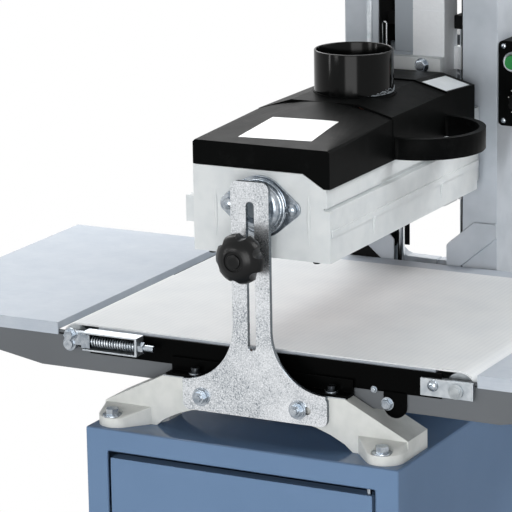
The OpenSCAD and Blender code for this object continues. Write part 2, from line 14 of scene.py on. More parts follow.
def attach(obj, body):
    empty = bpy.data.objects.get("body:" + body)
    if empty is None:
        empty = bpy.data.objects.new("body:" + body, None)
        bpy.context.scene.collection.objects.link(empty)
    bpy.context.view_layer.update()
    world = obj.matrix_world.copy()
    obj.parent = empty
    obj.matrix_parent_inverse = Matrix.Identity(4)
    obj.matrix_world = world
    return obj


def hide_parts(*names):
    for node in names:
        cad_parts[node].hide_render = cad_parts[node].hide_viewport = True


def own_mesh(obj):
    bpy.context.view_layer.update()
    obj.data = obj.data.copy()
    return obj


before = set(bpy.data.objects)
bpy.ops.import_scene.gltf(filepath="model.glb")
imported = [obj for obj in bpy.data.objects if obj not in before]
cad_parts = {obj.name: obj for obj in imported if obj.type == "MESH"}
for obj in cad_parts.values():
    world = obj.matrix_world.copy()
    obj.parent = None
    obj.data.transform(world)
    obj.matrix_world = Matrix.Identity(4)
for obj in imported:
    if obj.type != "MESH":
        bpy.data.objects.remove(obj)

LOG = logging.getLogger("drum_sander")
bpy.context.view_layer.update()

# The shop frame: millimetres, X along the feed, Y from the cabinet's front face, Z from its top.
SHIFT_Y = -410.0
SHIFT_Z = 740.0
# Height of the drum's axis in the shop frame, and a height above the whole machine.
DRUM_Z = 281.0
OVERHEAD = 900.0
# Corners nearer than this, in metres, are one.
SAME_SPOT = 1e-6
# Steps across a rounded edge, and the angle in degrees past which an edge is rounded.
EDGE_STEPS = 2
EDGE_ANGLE = 38.0

Point = tuple[float, float, float]
Flat = tuple[float, float]
Outline = tuple[Flat, ...]
Corner = bmesh.types.BMVert
Source = Union[bpy.types.NodeSocket, bpy.types.Node]


class Body(str, Enum):
    """The moving groups that pieces ride on."""

    BASE = "base"
    HEAD = "head"
    HOOD = "hood"


class Along(Enum):
    """The axis that a flat outline or a turned profile is carried along."""

    X = 0
    Y = 1
    Z = 2


def at(x: float, y: float, z: float) -> Vector:
    """Turns a point of the shop frame, in millimetres, into a point of the row frame, in metres."""
    return Vector((x, y + SHIFT_Y, z + SHIFT_Z)) / 1000.0


def linear(code: str) -> tuple[float, float, float, float]:
    """Turns an sRGB hex colour into linear values.

    Args:
        code: a colour such as "#6E88AE".

    Returns:
        Red, green, blue and alpha.
    """
    parts = [int(code[i:i + 2], 16) / 255.0 for i in (1, 3, 5)]
    r, g, b = (v / 12.92 if v <= 0.04045 else ((v + 0.055) / 1.055) ** 2.4 for v in parts)
    return (r, g, b, 1.0)


def per_mm(size: float) -> float:
    """Gives the pattern scale, for coordinates in metres, whose features are this many millimetres across."""
    return 1000.0 / size


class Coat:
    """The nodes of one material or surround while they are put together."""

    shader: bpy.types.Node
    place: bpy.types.NodeSocket

    def __init__(self, owner: Union[bpy.types.Material, bpy.types.World]) -> None:
        """Clears the nodes of a material or world.

        Args:
            owner: the material or world.
        """
        owner.use_nodes = True
        self.tree = owner.node_tree
        self.tree.nodes.clear()

    def put(self, socket: bpy.types.NodeSocket, source: Any) -> None:
        """Sets an input, or links what feeds it.

        Args:
            socket: the input.
            source: a constant, a socket, or a node, which stands for the first output that it has in use.
        """
        if isinstance(source, bpy.types.Node):
            source = next(out for out in source.outputs if out.enabled)
        if isinstance(source, bpy.types.NodeSocket):
            self.tree.links.new(source, socket)
        else:
            socket.default_value = source

    def add(self, kind: str, *inputs: Any, **named: Any) -> bpy.types.Node:
        """Adds one shader node with its settings and links; a texture lies on the surface if nothing else is said.

        Args:
            kind: the node's type name, without its first word.
            *inputs: constants or sources for the inputs in use, in order.
            **named: settings in lower case, and inputs by name, with underscores for spaces.

        Returns:
            The new node.
        """
        node = self.tree.nodes.new("ShaderNode" + kind)
        if kind.startswith("Tex") and "Vector" in node.inputs:
            named.setdefault("Vector", self.place)
        for key, value in named.items():
            if key.islower():
                setattr(node, key, value)
            else:
                self.put(node.inputs[key.replace("_", " ")], value)
        for socket, source in zip([socket for socket in node.inputs if socket.enabled], inputs):
            self.put(socket, source)
        return node

    def tint(self, amount: Source, low: str, high: str) -> None:
        """Drives the base colour from low to high.

        Args:
            amount: the blend, from 0 to 1.
            low: hex colour at 0.
            high: hex colour at 1.
        """
        mix = self.add("Mix", amount, linear(low), linear(high), data_type="RGBA")
        self.put(self.shader.inputs["Base Color"], mix)

    def gloss(self, amount: Source, low: float, high: float) -> None:
        """Drives the roughness from low to high.

        Args:
            amount: the blend, from 0 to 1.
            low: roughness at 0.
            high: roughness at 1.
        """
        self.put(self.shader.inputs["Roughness"], self.add("MapRange", amount, To_Min=low, To_Max=high))

    def relief(self, height: Source, depth_mm: float, strength: float) -> None:
        """Raises a bump from a height pattern.

        Args:
            height: the pattern.
            depth_mm: how deep the relief is, in millimetres.
            strength: how much of it shows.
        """
        bump = self.add("Bump", Strength=strength, Distance=depth_mm / 1000.0, Height=height)
        self.put(self.shader.inputs["Normal"], bump)


@dataclass(frozen=True)
class Finish:
    """A surface: its colour, how it reflects, and the fine relief that its making left."""

    name: str
    colour: str
    roughness: float
    metallic: float = 0.0
    ior: float = 1.5
    specular: float = 0.5

    def make(self) -> bpy.types.Material:
        """Builds the material, or returns it if it was built before.

        Returns:
            The finished material.
        """
        found = bpy.data.materials.get(self.name)
        if found:
            return found
        mat = bpy.data.materials.new(self.name)
        mat.diffuse_color = linear(self.colour)
        coat = Coat(mat)
        # a metal keeps the default IOR
        plain = {} if self.metallic >= 0.5 else {"IOR": self.ior, "Specular_IOR_Level": self.specular}
        coat.shader = coat.add("BsdfPrincipled", Base_Color=linear(self.colour), Roughness=self.roughness,
                               Metallic=self.metallic, **plain)
        coat.add("OutputMaterial", Surface=coat.shader)
        coat.place = coat.add("TexCoord").outputs["Object"]
        self.dress(coat)
        return mat

    def dress(self, coat: Coat) -> None:
        """Adds the pattern of this finish to the material at work."""


@dataclass(frozen=True)
class Enamel(Finish):
    """Sprayed and baked enamel: an even colour with a shallow orange peel."""

    peel_mm: float = 3.0
    peel_depth_mm: float = 0.03
    drift_mm: float = 90.0
    dull_mm: float = 35.0
    shade: str = "#000000"
    uneven: float = 0.08

    def dress(self, coat: Coat) -> None:
        """Adds the orange peel, a slow colour drift and dull patches.

        Args:
            coat: the material at work.
        """
        peel = coat.add("TexNoise", Scale=per_mm(self.peel_mm), Detail=2.0)
        coat.relief(peel, self.peel_depth_mm, 0.6)
        drift = coat.add("TexNoise", Scale=per_mm(self.drift_mm), Detail=4.0)
        coat.tint(drift, self.shade, self.colour)
        dull = coat.add("TexNoise", Scale=per_mm(self.dull_mm), Detail=5.0)
        coat.gloss(dull, self.roughness - self.uneven, self.roughness + self.uneven)


@dataclass(frozen=True)
class CastPaint(Finish):
    """Paint over a sand casting: the grain of the mould shows through as soft lumps."""

    shade: str = "#B9BFC2"
    grain_mm: float = 5.0
    grain_depth_mm: float = 0.12

    def dress(self, coat: Coat) -> None:
        """Adds lumps of two sizes, darker hollows and uneven gloss.

        Args:
            coat: the material at work.
        """
        coarse = coat.add("TexNoise", Scale=per_mm(self.grain_mm * 5), Detail=3.0)
        fine = coat.add("TexNoise", Scale=per_mm(self.grain_mm), Detail=4.0)
        lumps = coat.add("Math", fine, 0.35, coarse, operation="MULTIPLY_ADD")
        coat.relief(lumps, self.grain_depth_mm, 0.7)
        coat.tint(coat.add("MapRange", coarse, 0.3, 0.62), self.shade, self.colour)
        coat.gloss(fine, self.roughness - 0.08, self.roughness + 0.1)


@dataclass(frozen=True)
class Moulded(Finish):
    """Moulded plastic: a fine spark-eroded grain and faint handling marks."""

    grain_mm: float = 1.4
    grain_depth_mm: float = 0.05
    scuff_mm: float = 28.0
    scuff: str = "#2B2C2E"
    uneven: float = 0.11

    def dress(self, coat: Coat) -> None:
        """Adds the grain and pale scuffs.

        Args:
            coat: the material at work.
        """
        coat.relief(coat.add("TexVoronoi", Scale=per_mm(self.grain_mm)), self.grain_depth_mm, 0.5)
        scuffs = coat.add("TexNoise", Scale=per_mm(self.scuff_mm), Detail=8.0, Roughness=0.7)
        coat.tint(coat.add("MapRange", scuffs, 0.56, 0.8), self.colour, self.scuff)
        coat.gloss(scuffs, self.roughness - self.uneven, self.roughness + self.uneven)


@dataclass(frozen=True)
class HammeredPaint(CastPaint):
    """Hammer-finish paint on one part of a casting, with a machined smooth strip beside it."""

    strip_edge_mm: float = -9.0
    strip_blur_mm: float = 0.4
    strip_tone: str = "#9AA2AA"

    def dress(self, coat: Coat) -> None:
        """Adds the dimples right of the strip's edge and a smooth darker tone left of it.

        Args:
            coat: the material at work.
        """
        edge, blur = self.strip_edge_mm / 1000.0, self.strip_blur_mm / 1000.0
        right = coat.add("MapRange", coat.add("SeparateXYZ", coat.place).outputs["X"], edge - blur, edge + blur)
        dimples = coat.add("TexVoronoi", Scale=per_mm(self.grain_mm), feature="SMOOTH_F1")
        coat.relief(coat.add("Math", dimples, right, operation="MULTIPLY"), self.grain_depth_mm, 0.8)
        cloud = coat.add("TexNoise", Scale=per_mm(self.grain_mm * 2), Detail=4.0)
        paint = coat.add("Mix", cloud, linear(self.shade), linear(self.colour), data_type="RGBA")
        whole = coat.add("Mix", right, linear(self.strip_tone), paint, data_type="RGBA")
        coat.put(coat.shader.inputs["Base Color"], whole)


@dataclass(frozen=True)
class Spangle(Finish):
    """Hot-dip zinc: pale, with a speckle of dark threads where the fine crystals meet."""

    speck_mm: float = 2.0
    bend_mm: float = 5.0
    wander_mm: float = 6.0
    patch_mm: float = 40.0
    dark: str = "#8E959A"
    mottle: str = "#C8CDD1"
    # tone of the faces square to the plate: painted shade on the edges
    painted_edge_shade: str = "#6A7177"

    def dress(self, coat: Coat) -> None:
        """Adds the specks, thread-like seams, a slow mottle and painted shade on the edges.

        Args:
            coat: the material at work.
        """
        # real spangle of a thin dip is under 1 mm, so the specks are drawn as coarse as they show
        wander = coat.add("TexNoise", Scale=per_mm(self.bend_mm), Detail=3.0).outputs["Color"]
        bent = coat.add("VectorMath", wander, self.wander_mm / 1000.0, operation="SCALE")
        moved = coat.add("VectorMath", coat.place, bent, operation="ADD")
        seams = coat.add("TexVoronoi", Scale=per_mm(self.speck_mm * 1.7), Vector=moved, feature="DISTANCE_TO_EDGE")
        thread = coat.add("MapRange", seams, 0.02, 0.2, 1.0, 0.0)
        specks = coat.add("TexNoise", Scale=per_mm(self.speck_mm), Detail=2.0, Roughness=0.6, Vector=moved)
        spot = coat.add("MapRange", specks, 0.5, 0.66)
        both = coat.add("Math", thread, 0.42, spot, operation="MULTIPLY_ADD", use_clamp=True)
        patch = coat.add("TexNoise", Scale=per_mm(self.patch_mm), Detail=3.0)
        amount = coat.add("MapRange", patch, 0.3, 0.65, 0.35, 0.95)
        worn = coat.add("Math", both, amount, operation="MULTIPLY")
        ground = coat.add("Mix", patch, linear(self.colour), linear(self.mottle), data_type="RGBA")
        whole = coat.add("Mix", worn, ground, linear(self.dark), data_type="RGBA")
        # the faces square to the plate, its edges, take a darker tone: painted shade along the edges
        facing = coat.add("SeparateXYZ", coat.add("TexCoord").outputs["Normal"]).outputs["Y"]
        face = coat.add("MapRange", coat.add("Math", facing, operation="ABSOLUTE"), 0.55, 0.9)
        edge_shaded = coat.add("Mix", face, linear(self.painted_edge_shade), whole, data_type="RGBA")
        coat.put(coat.shader.inputs["Base Color"], edge_shaded)
        coat.gloss(specks, self.roughness - 0.1, self.roughness + 0.12)
        coat.relief(both, 0.04, 0.35)


@dataclass(frozen=True)
class Plated(Finish):
    """Turned and zinc-plated or ground steel: fine tool marks with a bluish film."""

    metallic: float = 1.0
    mark_mm: float = 1.2
    cloud_mm: float = 9.0
    film: str = "#9FAAB2"

    def dress(self, coat: Coat) -> None:
        """Adds tool marks and a cloudy film.

        Args:
            coat: the material at work.
        """
        cloud = coat.add("TexNoise", Scale=per_mm(self.cloud_mm), Detail=5.0)
        coat.tint(coat.add("MapRange", cloud, 0.35, 0.65), self.film, self.colour)
        coat.relief(coat.add("TexNoise", Scale=per_mm(self.mark_mm), Detail=3.0), 0.03, 0.4)
        coat.gloss(cloud, self.roughness - 0.08, self.roughness + 0.12)


@dataclass(frozen=True)
class Brushed(Finish):
    """Sheet metal with a straight grain, cloudy from handling."""

    line_mm: float = 0.9
    stretch: float = 40.0
    along: Along = Along.X
    patch_mm: float = 45.0
    cloud: str = "#AEB8C1"

    def dress(self, coat: Coat) -> None:
        """Adds long fine lines and large cloudy patches.

        Args:
            coat: the material at work.
        """
        squeeze = [1.0, 1.0, 1.0]
        squeeze[self.along.value] = 1.0 / self.stretch
        laid = coat.add("Mapping", Vector=coat.place, Scale=squeeze)
        lines = coat.add("TexNoise", Scale=per_mm(self.line_mm), Detail=3.0, Vector=laid)
        patches = coat.add("TexNoise", Scale=per_mm(self.patch_mm), Detail=6.0, Roughness=0.65)
        both = coat.add("Math", lines, 0.5, patches, operation="MULTIPLY_ADD")
        coat.tint(coat.add("MapRange", both, 0.5, 1.0), self.cloud, self.colour)
        coat.gloss(patches, self.roughness - 0.1, self.roughness + 0.12)
        coat.relief(lines, 0.02, 0.5)


@dataclass(frozen=True)
class BeltCloth(Finish):
    """Coated conveyor cloth: a fine square weave pressed through pale grey polyurethane."""

    rib_mm: float = 4.2
    soil_mm: float = 60.0
    valley: str = "#C6CBCE"

    def dress(self, coat: Coat) -> None:
        """Adds ribs across and along the belt, and a faint dirt mottle.

        Args:
            coat: the material at work.
        """
        # the real weave is near 1 mm, too fine to show, so the ribs are drawn coarser
        pitch = per_mm(self.rib_mm) / 20.0 * math.pi
        across, along = (coat.add("TexWave", Scale=pitch, bands_direction=way).outputs["Fac"] for way in "XY")
        weave = coat.add("Math", along, 0.55, across, operation="MULTIPLY_ADD")
        coat.relief(weave, 0.12, 0.35)
        soil = coat.add("TexNoise", Scale=per_mm(self.soil_mm), Detail=6.0)
        mixed = coat.add("Math", weave, 0.22, soil, operation="MULTIPLY_ADD")
        coat.tint(coat.add("MapRange", mixed, 0.3, 0.9), self.valley, self.colour)


@dataclass(frozen=True)
class Grit(Finish):
    """Abrasive cloth: resin-bonded grains, wound as a spiral strip."""

    grain_mm: float = 1.2
    strip_mm: float = 75.0
    seam: str = "#3A1E14"

    def dress(self, coat: Coat) -> None:
        """Adds the grains and the spiral butt seam.

        Args:
            coat: the material at work.
        """
        coat.relief(coat.add("TexVoronoi", Scale=per_mm(self.grain_mm)), 0.3, 0.8)
        part = coat.add("SeparateXYZ", coat.place).outputs
        drop = coat.add("Math", part["Z"], -at(0.0, 0.0, DRUM_Z).z, operation="ADD")
        turn = coat.add("Math", drop, part["X"], operation="ARCTAN2")
        wound = coat.add("Math", turn, 1.0 / (2.0 * math.pi), operation="MULTIPLY")
        climb = coat.add("Math", part["Y"], per_mm(self.strip_mm), wound, operation="MULTIPLY_ADD")
        strip = coat.add("MapRange", coat.add("Math", climb, operation="FRACT"), 0.0, 0.03)
        coat.tint(strip, self.seam, self.colour)


# Sprayed enamel on folded steel: even pigeon blue with a soft gloss.
BLUE_ENAMEL = Enamel("blue_enamel", "#748EAF", 0.5, shade="#6B86A7", specular=0.06, peel_depth_mm=0.004,
                     uneven=0.02)
# The same where it flowed out flat on the cabinet's top: a wet gloss that mirrors what stands over it, and a darker
# colour that is painted shade from the machine above.
BLUE_TOP_SHADED = Enamel("blue_enamel_top_painted_shade", "#627D9F", 0.07, shade="#5A7597", specular=0.35, peel_depth_mm=0.002,
                  uneven=0.02)
# Enamel on cast iron, very pale grey: soft lumps from the mould under a half gloss.
PALE_CAST = CastPaint("pale_cast_enamel", "#DFE3E4", 0.42, shade="#D5DADC")
# The same over the legs, where the sand of the mould shows finer.
LEG_CAST = CastPaint("leg_cast_enamel", "#DEE0DD", 0.45, shade="#D2D5D2", grain_mm=4.0)
# Satin enamel on the column: mid grey with a slow wave.
COLUMN_GREY = CastPaint("column_grey_enamel", "#C0C7CF", 0.4, shade="#B4BCC4", grain_mm=7.0, grain_depth_mm=0.1)
# Hammer-finish enamel of the carriage: small bright dimples.
HAMMER_PALE = HammeredPaint("hammered_pale_enamel", "#EEF1F4", 0.4, shade="#E5E9ED", grain_mm=3.2,
                            grain_depth_mm=0.5)
# Satin enamel on pressed frame plates: dark grey, slightly dusty.
FRAME_GREY = Enamel("frame_grey_enamel", "#63676B", 0.5, shade="#5A5E62")
# Gloss black enamel on folded rails: deep black that hardly lifts in the light.
RAIL_BLACK = Enamel("rail_black_enamel", "#050505", 0.28, shade="#030404", specular=0.025)
# Hot-dip zinc on cut plate: pale with a fine dark speckle.
SPANGLED_ZINC = Spangle("spangled_zinc", "#EFF1F4", 0.25, metallic=0.92, speck_mm=1.5, dark="#747C83",
                        mottle="#D9DDE1")
# Zinc-plated pressed sheet: smooth, pale and a little cloudy.
ZINC_SHEET = Plated("zinc_sheet", "#BDC2C6", 0.36, metallic=0.9, film="#A6ADB3")
# Bright zinc plating on fasteners: silvery with a faint blue film.
BRIGHT_ZINC = Plated("bright_zinc_plate", "#B4BAC0", 0.22, film="#88919A")
# Cold-drawn spring wire: grey, with dark hollows between bright turns.
SPRING_WIRE = Plated("drawn_spring_wire", "#CDD2D6", 0.26, film="#A7AEB4")
# Black oxide on steel screws: nearly black, with a dull metal shine on the edges.
BLACK_OXIDE = Plated("black_oxide_steel", "#3A3D40", 0.3, film="#222427")
# Turned and ground steel rollers and shafts: a fine grey shine.
GROUND_STEEL = Plated("ground_steel", "#B6BBBE", 0.3, film="#979DA1")
# Hard chrome on the guide rods: a clear mirror.
HARD_CHROME = Plated("hard_chrome", "#D9DDE0", 0.12, film="#C9CED2")
# Brushed zinc-coated sheet of the extension tables: pale, bluish and cloudy.
TABLE_SHEET = Brushed("table_sheet", "#C6CDD5", 0.56, metallic=0.1, specular=0.15, cloud="#B5BEC9")
# Polyurethane-coated belt cloth: pale grey with a faint rib.
BELT_CLOTH = BeltCloth("belt_cloth", "#EDF0F1", 0.6, rib_mm=3.2, valley="#E1E5E8")
# Moulded ABS with a fine grain: black with a broad low sheen.
BLACK_ABS = Moulded("moulded_black_abs", "#0A0B0B", 0.42, specular=0.02, scuff="#171818")
# Extruded ABS pipe: smooth black, near gloss.
PIPE_ABS = Moulded("pipe_abs", "#050606", 0.14, specular=0.12, uneven=0.02, grain_mm=14.0, grain_depth_mm=0.002,
                   scuff="#0D0E0E")
# Phenolic knob: hard black plastic with a worn sheen.
PHENOLIC = Moulded("phenolic_black", "#08090A", 0.3, specular=0.22, grain_mm=1.8, grain_depth_mm=0.02,
                   scuff="#151617")
# Black rubber of the clip and clamp covers, and black sheets of painted shade in the column's gap and at its foot: no
# gloss at all.
RUBBER_AND_SHADE_BLACK = Moulded("rubber_and_painted_shade_black", "#0B0B0C", 0.8, specular=0.15, grain_mm=2.2, scuff="#131314")
# Turned aluminium of the drum: pale grey with a soft metal shine.
TURNED_ALUMINIUM = Plated("turned_aluminium", "#C3C7CA", 0.35, film="#A8ADB1")
# Enamelled motor housing: dark grey over a fine cast grain.
MOTOR_GREY = CastPaint("motor_grey_enamel", "#4A4E52", 0.48, shade="#404448", grain_mm=3.0)
# Aluminium-oxide cloth: rust-brown grains without gloss.
OXIDE_CLOTH = Grit("oxide_cloth", "#8A4B32", 0.85)
# Sintered bronze nut: dull brown gold.
BRONZE = Plated("sintered_bronze", "#B08D57", 0.38, film="#8E6E3C")
# Nitrile rubber feet: dull dark grey.
NITRILE = Moulded("nitrile_rubber", "#1C1D1E", 0.75, ior=1.52, grain_mm=2.5)
# Gloss plastic push buttons: even, saturated colour.
GREEN_CAP = Moulded("green_cap_plastic", "#2C8A47", 0.25, scuff="#3A9A55")
RED_CAP = Moulded("red_cap_plastic", "#B3262A", 0.25, scuff="#C2393C")
# Vinyl label: plain white, slightly glossy.
LABEL_VINYL = Enamel("label_vinyl", "#F0F1F1", 0.35, shade="#E8EAEA", peel_mm=8.0, peel_depth_mm=0.01)
# Satin foil of the blank rating plate: pale with a straight grain.
LABEL_FOIL = Brushed("label_foil", "#D8DDE0", 0.45, metallic=0.4, line_mm=1.2, cloud="#C6CCD0")
# Scraped plastic where the port was bonded in: dark with pale torn threads.
TORN_SEAM = Spangle("torn_plastic_seam", "#17181A", 0.5, speck_mm=1.6, dark="#B9BDC0", mottle="#222426")

# The solids that each finish goes on.
SOLIDS_IN: dict[Finish, str] = {
    BLUE_ENAMEL: "cabinet cabinet_door",
    LEG_CAST: "front_leg rear_leg",
    PALE_CAST: "column_base column_cap head_casting",
    COLUMN_GREY: "left_post right_post",
    HAMMER_PALE: "carriage",
    FRAME_GREY: "frame_plates bed_beams",
    RAIL_BLACK: "side_rails bed_mounts crank_arm fan_cover",
    MOTOR_GREY: "gearmotor motor terminal_box",
    SPANGLED_ZINC: "support_bracket",
    ZINC_SHEET: "drive_plates takeup_brackets infeed_carrier outfeed_carrier",
    BRIGHT_ZINC: "hinge_pins leg_bolts bracket_bolts idler_takeup outboard_bearing bearing_bolts clamp_stud "
                 "hood_hinge_pins",
    SPRING_WIRE: "takeup_springs",
    BLACK_OXIDE: "mount_bolts",
    GROUND_STEEL: "drive_roller idler_roller height_screw inboard_bearing drum_shaft coupling infeed_roller "
                  "outfeed_roller",
    HARD_CHROME: "guide_rods",
    TURNED_ALUMINIUM: "drum",
    BRONZE: "lift_nut",
    OXIDE_CLOTH: "abrasive_wrap",
    TABLE_SHEET: "bed_plate infeed_table outfeed_table",
    BELT_CLOTH: "conveyor_belt",
    BLACK_ABS: "dust_hood switch_box",
    PIPE_ABS: "dust_port",
    PHENOLIC: "door_pull crank_grip clamp_knob speed_knob",
    NITRILE: "levelling_feet",
    GREEN_CAP: "start_button",
    RED_CAP: "stop_button"}

# How wide the edges of the solids are rounded, in millimetres.
SOLIDS_ROUNDED: dict[float, str] = {
    0.5: "mount_bolts idler_takeup outboard_bearing",
    0.6: "frame_plates takeup_brackets drive_plates leg_bolts bracket_bolts motor bed_mounts",
    0.7: "support_bracket",
    0.8: "side_rails infeed_table outfeed_table",
    1.0: "clamp_knob start_button speed_knob",
    1.2: "cabinet_door crank_arm stop_button",
    1.5: "fan_cover door_pull",
    2.0: "column_cap column_base switch_box terminal_box gearmotor",
    2.2: "head_casting",
    2.5: "carriage left_post right_post",
    2.6: "dust_hood",
    3.0: "front_leg rear_leg"}


def soften(obj: bpy.types.Object, width_mm: float) -> None:
    """Rounds an object's hard edges.

    Args:
        obj: the object.
        width_mm: width of the rounding.
    """
    bevel = obj.modifiers.new("rounded_edges", "BEVEL")
    bevel.width = width_mm / 1000.0
    bevel.segments = EDGE_STEPS
    bevel.limit_method = "ANGLE"
    bevel.angle_limit = math.radians(EDGE_ANGLE)
    bevel.harden_normals = True


def box_of(x0: float, x1: float, y0: float, y1: float) -> list[Flat]:
    """Gives the outline of a plain rectangle, anticlockwise."""
    return [(x0, y0), (x1, y0), (x1, y1), (x0, y1)]


def rounded(x0: float, x1: float, y0: float, y1: float, r: float, steps: int = 6) -> list[Flat]:
    """Gives a rectangle with round corners.

    Args:
        x0: low side.
        x1: high side.
        y0: bottom.
        y1: top.
        r: corner radius.
        steps: points in each corner.

    Returns:
        Its outline, anticlockwise.
    """
    out: list[Flat] = []
    for cx, cy, start in ((x1 - r, y1 - r, 0), (x0 + r, y1 - r, 90), (x0 + r, y0 + r, 180), (x1 - r, y0 + r, 270)):
        for k in range(steps + 1):
            t = math.radians(start + 90.0 * k / steps)
            out.append((cx + r * math.cos(t), cy + r * math.sin(t)))
    return out


class Surface:
    """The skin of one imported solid, asked how high it is at a spot."""

    def __init__(self, node: str) -> None:
        """Reads the mesh of a solid.

        Args:
            node: the solid's name.
        """
        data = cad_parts[node].data
        self.tree = BVHTree.FromPolygons([v.co.copy() for v in data.vertices],
                                         [tuple(p.vertices) for p in data.polygons])

    def top(self, x: float, y: float) -> float:
        """Gives the height of the solid's top above a spot, all in millimetres of the shop frame."""
        hit = self.tree.ray_cast(at(x, y, OVERHEAD), Vector((0, 0, -1)))
        return hit[0].z * 1000.0 - SHIFT_Z


class Blank:
    """A mesh at work in the shop frame, until it is hung on a body as a piece; steps can be strung together."""

    def __init__(self) -> None:
        """Starts empty."""
        self.mesh = bmesh.new()

    def corners(self, spots: Sequence[Point]) -> list[Corner]:
        """Adds corners at points of the shop frame and returns them."""
        return [self.mesh.verts.new(at(*spot)) for spot in spots]

    def piece(self, name: str, body: Body, finish: Finish, slot: str, bevel_mm: float = 0.0,
              smooth: float = 35.0) -> bpy.types.Object:
        """Turns the mesh into a named piece that rides on a body, and frees it.

        Args:
            name: the piece's name.
            body: what it moves with.
            finish: its surface.
            slot: the record's material slot; not used.
            bevel_mm: width of the rounded edges.
            smooth: faces that meet at less than this angle shade as one.

        Returns:
            The new object.
        """
        bmesh.ops.remove_doubles(self.mesh, verts=self.mesh.verts, dist=SAME_SPOT)
        bmesh.ops.recalc_face_normals(self.mesh, faces=self.mesh.faces)
        data = bpy.data.meshes.new(name)
        self.mesh.to_mesh(data)
        self.mesh.free()
        data.shade_smooth()
        data.set_sharp_from_angle(angle=math.radians(smooth))
        obj = bpy.data.objects.new(name, data)
        bpy.context.scene.collection.objects.link(obj)
        data.materials.append(finish.make())
        if bevel_mm:
            soften(obj, bevel_mm)
        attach(obj, body.value)
        LOG.info("piece %s on %s", name, body.value)
        return obj

    def prism(self, outline: Sequence[Flat], axis: Along, low: float, high: float) -> Self:
        """Adds an outline carried along an axis.

        Args:
            outline: flat points; X and Z for Y, X and Y for Z, Y and Z for X.
            axis: the axis.
            low: where it starts, in millimetres.
            high: where it ends.

        Returns:
            The blank.
        """
        def put(p: Flat, h: float) -> Point:
            """Places one flat point at a height along the axis."""
            return {Along.X: (h, *p), Along.Y: (p[0], h, p[1]), Along.Z: (*p, h)}[axis]
        first, second = (self.corners([put(p, h) for p in outline]) for h in (low, high))
        count = len(outline)
        self.mesh.faces.new(first)
        self.mesh.faces.new(list(reversed(second)))
        for i in range(count):
            k = (i + 1) % count
            self.mesh.faces.new((first[i], second[i], second[k], first[k]))
        return self

    def turned(self, profile: Sequence[Flat], axis: Along, centres: Sequence[Point], sides: int,
               turn: float = 0.0) -> Self:
        """Adds a turned profile at one or more places.

        Args:
            profile: (radius, distance along the axis) points in millimetres.
            axis: the axis of the lathe.
            centres: the points that distances start from, in the shop frame.
            sides: steps round the axis.
            turn: angle of the first step, in degrees.

        Returns:
            The blank.
        """
        for cx, cy, cz in centres:
            rings: list[list[Corner]] = []
            for r, h in profile:
                ring: list[Point] = []
                for k in range(1 if r < 1e-6 else sides):
                    t = 2 * math.pi * k / sides + math.radians(turn)
                    c, s = r * math.cos(t), r * math.sin(t)
                    ring.append({Along.X: (cx + h, cy + c, cz + s), Along.Y: (cx + c, cy + h, cz + s),
                                 Along.Z: (cx + c, cy + s, cz + h)}[axis])
                rings.append(self.corners(ring))
            for a, b in zip(rings, rings[1:]):
                for k in range(sides):
                    around = [a[k % len(a)], a[(k + 1) % len(a)], b[(k + 1) % len(b)], b[k % len(b)]]
                    unique = list(dict.fromkeys(around))
                    if len(unique) > 2:
                        self.mesh.faces.new(unique)
        return self

    def tube(self, path: Sequence[Point], radius: float, sides: int, square_to: Vector | None = None) -> Self:
        """Adds a round bar along a path.

        Args:
            path: its points, in the shop frame.
            radius: its radius in millimetres.
            sides: steps round it.
            square_to: a direction that the path never runs along, to keep a coil's rings from twisting.

        Returns:
            The blank.
        """
        points = [at(*p) for p in path]
        rings: list[list[Corner]] = []
        for i, p in enumerate(points):
            way = (points[min(i + 1, len(points) - 1)] - points[max(i - 1, 0)]).normalized()
            spare = Vector((0, 0, 1)) if abs(way.z) < 0.9 else Vector((0, 1, 0))
            side = way.cross(square_to or spare).normalized()
            rise = way.cross(side)
            rings.append([self.mesh.verts.new(p + (side * math.cos(t) + rise * math.sin(t)) * radius / 1000.0)
                          for t in (2 * math.pi * k / sides for k in range(sides))])
        for a, b in zip(rings, rings[1:]):
            for k in range(sides):
                self.mesh.faces.new((a[k], a[(k + 1) % sides], b[(k + 1) % sides], b[k]))
        self.mesh.faces.new(list(reversed(rings[0])))
        self.mesh.faces.new(rings[-1])
        return self

    def bolts(self, spots: Sequence[Point], head: Flat, washer: Flat) -> Self:
        """Adds hexagon bolt heads with chamfered tops on washers, which point to the front.

        Args:
            spots: the middles of the faces that they sit on.
            head: radius over the corners, and height.
            washer: radius and thickness of the washer.

        Returns:
            The blank.
        """
        (head_r, head_h), (washer_r, washer_h) = head, washer
        under = [(0.0, 0.3), (washer_r - 0.3, 0.3), (washer_r, -0.2), (washer_r, 0.3 - washer_h),
                 (washer_r - 0.4, -washer_h), (0.0, -washer_h)]
        crown = -washer_h - head_h * 1.02
        hexagon = [(0.0, -washer_h), (head_r, -washer_h), (head_r, -washer_h - head_h * 0.78),
                   (head_r * 0.84, -washer_h - head_h), (head_r * 0.5, crown), (0.0, crown)]
        for spot in spots:
            self.turned(under, Along.Y, [spot], 32)
            self.turned(hexagon, Along.Y, [spot], 6, 12.0)
        return self

